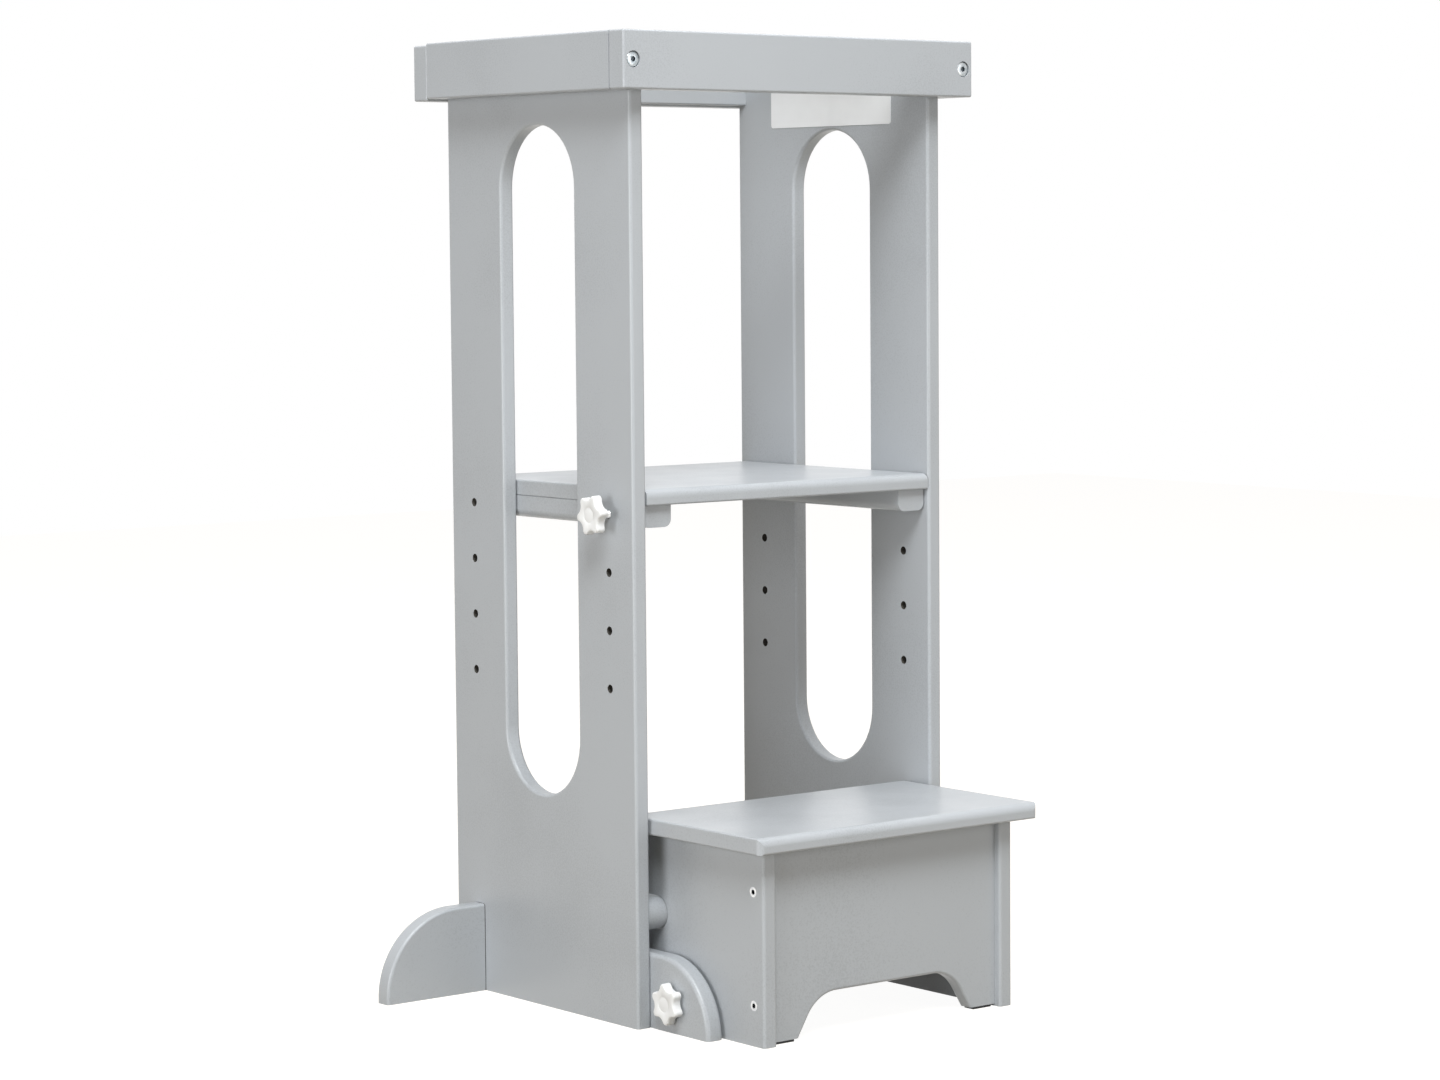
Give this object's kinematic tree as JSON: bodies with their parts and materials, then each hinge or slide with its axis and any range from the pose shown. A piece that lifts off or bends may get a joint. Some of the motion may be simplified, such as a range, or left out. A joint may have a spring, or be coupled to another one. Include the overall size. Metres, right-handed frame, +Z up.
{
  "type": "toddler kitchen helper tower",
  "caption": "Grey painted helper tower for a toddler: slotted side panels, top guard rails, height-set standing platform on star knobs, outrigger feet and a docked step stool.",
  "frame": {"origin": "on the floor, under the middle of the whole object's bounding box", "axes": "+X to the right seen from the stool side, -Y front (the stool side), +Z up"},
  "size_m": [0.634, 0.5062, 0.97],
  "materials": {
    "grey_paint": "satin light grey paint on board",
    "white_plastic": "moulded white, semi-matt",
    "zinc_steel": "bright zinc plated",
    "black_rubber": "black, matt",
    "white_film": "blank white film",
    "bare_wood": "bare beech, hidden"
  },
  "bodies": {
    "tower": {"left_side_panel": "grey_paint", "left_side_rail": "grey_paint", "left_outrigger": "grey_paint", "left_dock_bracket": "grey_paint", "left_cleat": "grey_paint", "stool_left_side": "grey_paint", "left_platform_insert": "zinc_steel", "left_stool_insert": "zinc_steel", "right_side_panel": "grey_paint", "right_side_rail": "grey_paint", "right_outrigger": "grey_paint", "right_dock_bracket": "grey_paint", "right_cleat": "grey_paint", "stool_right_side": "grey_paint", "right_platform_insert": "zinc_steel", "right_stool_insert": "zinc_steel", "front_rail": "grey_paint", "rear_rail": "grey_paint", "rear_batten": "grey_paint", "front_cross_dowel": "grey_paint", "rear_cross_dowel": "grey_paint", "platform_board": "grey_paint", "stool_tread": "grey_paint", "stool_front_panel": "grey_paint", "stool_back_rail": "grey_paint", "front_rail_bolts": "zinc_steel", "rear_rail_bolts": "zinc_steel", "rail_barrel_nuts": "zinc_steel", "batten_screws": "zinc_steel", "side_rail_screws": "zinc_steel", "outrigger_screws": "zinc_steel", "bracket_screws": "zinc_steel", "cleat_screws": "zinc_steel", "stool_side_screws": "zinc_steel", "rear_locating_pins": "zinc_steel", "stool_floor_pads": "black_rubber", "blank_label": "white_film", "stool_tread_pins": "bare_wood", "stool_back_rail_pins": "bare_wood"},
    "left_platform_washer_slide": {"left_platform_washer": "zinc_steel"},
    "left_platform_knob_turn": {"left_platform_knob": "white_plastic", "left_platform_stud": "zinc_steel"},
    "left_stool_washer_slide": {"left_stool_washer": "zinc_steel"},
    "left_stool_knob_turn": {"left_stool_knob": "white_plastic", "left_stool_stud": "zinc_steel"},
    "right_platform_washer_slide": {"right_platform_washer": "zinc_steel"},
    "right_platform_knob_turn": {"right_platform_knob": "white_plastic", "right_platform_stud": "zinc_steel"},
    "right_stool_washer_slide": {"right_stool_washer": "zinc_steel"},
    "right_stool_knob_turn": {"right_stool_knob": "white_plastic", "right_stool_stud": "zinc_steel"}
  },
  "joints": [
    {"name": "left_platform_travel", "type": "slide", "parent": "tower", "child": "left_platform_washer_slide", "axis": [-1, 0, 0], "range_m": [-0.0115, 0.0065]},
    {"name": "left_platform_turn", "type": "hinge", "parent": "left_platform_washer_slide", "child": "left_platform_knob_turn", "pos_m": [-0.207, -0.04335, 0.50345], "axis": [-1, 0, 0], "range_deg": [-3289, 1850]},
    {"name": "left_stool_travel", "type": "slide", "parent": "tower", "child": "left_stool_washer_slide", "axis": [-1, 0, 0], "range_m": [0, 0.013]},
    {"name": "left_stool_turn", "type": "hinge", "parent": "left_stool_washer_slide", "child": "left_stool_knob_turn", "pos_m": [-0.191, -0.12035, 0.03], "axis": [-1, 0, 0], "range_deg": [0, 3722]},
    {"name": "right_platform_travel", "type": "slide", "parent": "tower", "child": "right_platform_washer_slide", "axis": [1, 0, 0], "range_m": [0, 0.018]},
    {"name": "right_platform_turn", "type": "hinge", "parent": "right_platform_washer_slide", "child": "right_platform_knob_turn", "pos_m": [0.207, -0.04335, 0.50345], "axis": [1, 0, 0], "range_deg": [0, 5162]},
    {"name": "right_stool_travel", "type": "slide", "parent": "tower", "child": "right_stool_washer_slide", "axis": [1, 0, 0], "range_m": [0, 0.013]},
    {"name": "right_stool_turn", "type": "hinge", "parent": "right_stool_washer_slide", "child": "right_stool_knob_turn", "pos_m": [0.191, -0.12035, 0.03], "axis": [1, 0, 0], "range_deg": [0, 3722]}
  ],
  "couplings": [
    {"joint": "left_platform_travel", "follows": "left_platform_turn", "m_per_rad": 0.00019894},
    {"joint": "left_stool_travel", "follows": "left_stool_turn", "m_per_rad": 0.00019894},
    {"joint": "right_platform_travel", "follows": "right_platform_turn", "m_per_rad": 0.00019894},
    {"joint": "right_stool_travel", "follows": "right_stool_turn", "m_per_rad": 0.00019894}
  ]
}
